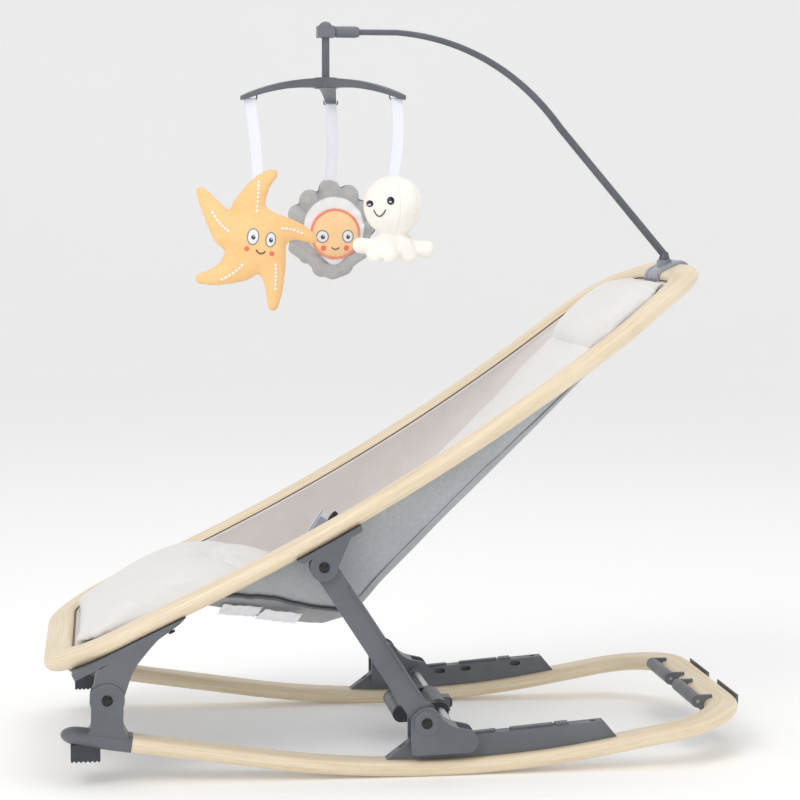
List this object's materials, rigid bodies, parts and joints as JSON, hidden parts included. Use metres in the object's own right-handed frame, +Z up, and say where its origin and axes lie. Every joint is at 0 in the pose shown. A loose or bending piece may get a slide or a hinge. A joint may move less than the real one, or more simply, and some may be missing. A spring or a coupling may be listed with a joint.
{
  "type": "baby bouncer seat",
  "caption": "Bentwood rocking bouncer for a baby: a fabric seat on an oval rim that reclines on sliding struts, with a harness and a turning mobile of soft sea toys.",
  "frame": {"origin": "on the floor, in the middle of the whole object's box in X and Y", "axes": "+Z up; +X from the foot end to the head end; +Y across, to the right of a baby lying in the seat"},
  "size_m": [0.8001, 0.4278, 0.8415],
  "materials": {
    "wood": "clear-lacquered pale bent beech or birch, satin",
    "grey_plastic": "matt slate-grey moulded plastic",
    "dark_plastic": "near-black moulded plastic",
    "foot_rubber": "dark ribbed rubber",
    "bolt_black": "glossy black domed caps",
    "steel": "plain steel",
    "outer_fabric": "grey melange woven outer fabric",
    "liner_fabric": "off-white soft padded fabric",
    "strap_webbing": "pale woven webbing",
    "ribbon": "white satin ribbon",
    "starfish_plush": "apricot short-pile plush",
    "clam_plush": "grey short-pile plush",
    "pearl_plush": "peach short-pile plush",
    "octopus_plush": "cream short-pile plush"
  },
  "bodies": {
    "base": {"base_frame": "wood", "front_cap_left": "grey_plastic", "front_cap_right": "grey_plastic", "front_foot_left": "foot_rubber", "front_foot_right": "foot_rubber", "slide_rail_left": "grey_plastic", "slide_rail_right": "grey_plastic", "rail_screws": "steel", "front_pivot_bolts": "bolt_black", "stop_hinge_left": "dark_plastic", "stop_hinge_right": "dark_plastic", "stop_hinge_pins": "steel"},
    "rear_stop_left": {"rear_stop_left": "grey_plastic"},
    "rear_stop_right": {"rear_stop_right": "grey_plastic"},
    "seat": {"seat_rim": "wood", "front_bracket_left": "grey_plastic", "front_bracket_right": "grey_plastic", "mid_bracket_left": "grey_plastic", "mid_bracket_right": "grey_plastic", "bracket_screws": "steel", "mid_pivot_bolts": "bolt_black", "seat_shell": "outer_fabric", "seat_liner": "liner_fabric", "leg_pad": "liner_fabric", "back_pad": "liner_fabric", "head_pillow": "liner_fabric", "crotch_strap": "strap_webbing", "waist_strap_left": "strap_webbing", "waist_strap_right": "strap_webbing", "harness_buckle": "dark_plastic", "toy_clamp": "grey_plastic", "clamp_screw": "steel"},
    "struts": {"strut_left": "grey_plastic", "strut_right": "grey_plastic"},
    "carriage": {"carriage_left": "grey_plastic", "carriage_right": "grey_plastic", "carriage_pivot_bolts": "bolt_black", "cross_tube_bar": "steel", "latch_springs": "steel", "handle_housing": "grey_plastic"},
    "grip": {"release_grip": "dark_plastic", "grip_sleeve": "grey_plastic"},
    "button": {"lock_button": "dark_plastic"},
    "latch_left": {"latch_bolt_left": "steel"},
    "latch_right": {"latch_bolt_right": "steel"},
    "toy_bar": {"toy_rod": "grey_plastic", "rod_hub": "grey_plastic"},
    "mobile": {"mobile_arms": "grey_plastic"},
    "star_toy": {"starfish": "starfish_plush", "starfish_ribbon": "ribbon"},
    "clam_toy": {"clam_shell": "clam_plush", "clam_pearl": "pearl_plush", "clam_ribbon": "ribbon"},
    "octopus_toy": {"octopus": "octopus_plush", "octopus_ribbon": "ribbon"}
  },
  "joints": [
    {"name": "seat_recline", "type": "hinge", "parent": "base", "child": "seat", "pos_m": [-0.3301, 0, 0.095], "axis": [0, 1, 0], "range_deg": [0, 25]},
    {"name": "strut_pivot", "type": "hinge", "parent": "seat", "child": "struts", "pos_m": [-0.0941, 0, 0.2365], "axis": [0, 1, 0], "range_deg": [-69.5, 0]},
    {"name": "carriage_pivot", "type": "hinge", "parent": "struts", "child": "carriage", "pos_m": [0.0189, 0, 0.061], "axis": [0, 1, 0], "range_deg": [0, 44.5]},
    {"name": "grip_squeeze", "type": "hinge", "parent": "carriage", "child": "grip", "pos_m": [0.0569, 0, 0.0375], "axis": [0, 1, 0], "range_deg": [0, 12], "stiffness_Nm_per_rad": 1.5, "springref_deg": -8.59},
    {"name": "latch_left_slide", "type": "slide", "parent": "carriage", "child": "latch_left", "axis": [0, 1, 0], "range_m": [0, 0.0052]},
    {"name": "latch_right_slide", "type": "slide", "parent": "carriage", "child": "latch_right", "axis": [0, -1, 0], "range_m": [0, 0.0052]},
    {"name": "button_press", "type": "slide", "parent": "carriage", "child": "button", "axis": [-1, 0, 0], "range_m": [0, 0.004], "stiffness_N_per_m": 400, "springref_m": -0.002},
    {"name": "rear_stop_left_flip", "type": "hinge", "parent": "base", "child": "rear_stop_left", "pos_m": [0.3504, -0.065, 0.055], "axis": [0, 1, 0], "range_deg": [0, 90]},
    {"name": "rear_stop_right_flip", "type": "hinge", "parent": "base", "child": "rear_stop_right", "pos_m": [0.3504, 0.065, 0.055], "axis": [0, 1, 0], "range_deg": [0, 90]},
    {"name": "toy_bar_swivel", "type": "hinge", "parent": "seat", "child": "toy_bar", "pos_m": [0.33292, 0, 0.56462], "axis": [0, 0, 1], "range_deg": [-90, 90]},
    {"name": "mobile_spin", "type": "hinge", "parent": "toy_bar", "child": "mobile", "pos_m": [-0.0711, 0, 0.8], "axis": [0, 0, 1], "continuous": true},
    {"name": "star_swing", "type": "hinge", "parent": "mobile", "child": "star_toy", "pos_m": [-0.16166, -0.03476, 0.7496], "axis": [1, 0, 0], "range_deg": [-15, 15]},
    {"name": "clam_swing", "type": "hinge", "parent": "mobile", "child": "clam_toy", "pos_m": [-0.05593, 0.09581, 0.7496], "axis": [1, 0, 0], "range_deg": [-15, 15]},
    {"name": "octopus_swing", "type": "hinge", "parent": "mobile", "child": "octopus_toy", "pos_m": [0.00428, -0.06104, 0.7496], "axis": [1, 0, 0], "range_deg": [-15, 15]}
  ],
  "couplings": [
    {"joint": "strut_pivot", "follows": "seat_recline", "ratio": -2.76},
    {"joint": "carriage_pivot", "follows": "seat_recline", "ratio": 1.76},
    {"joint": "latch_left_slide", "follows": "grip_squeeze", "m_per_rad": 0.02387},
    {"joint": "latch_right_slide", "follows": "grip_squeeze", "m_per_rad": 0.02387}
  ]
}
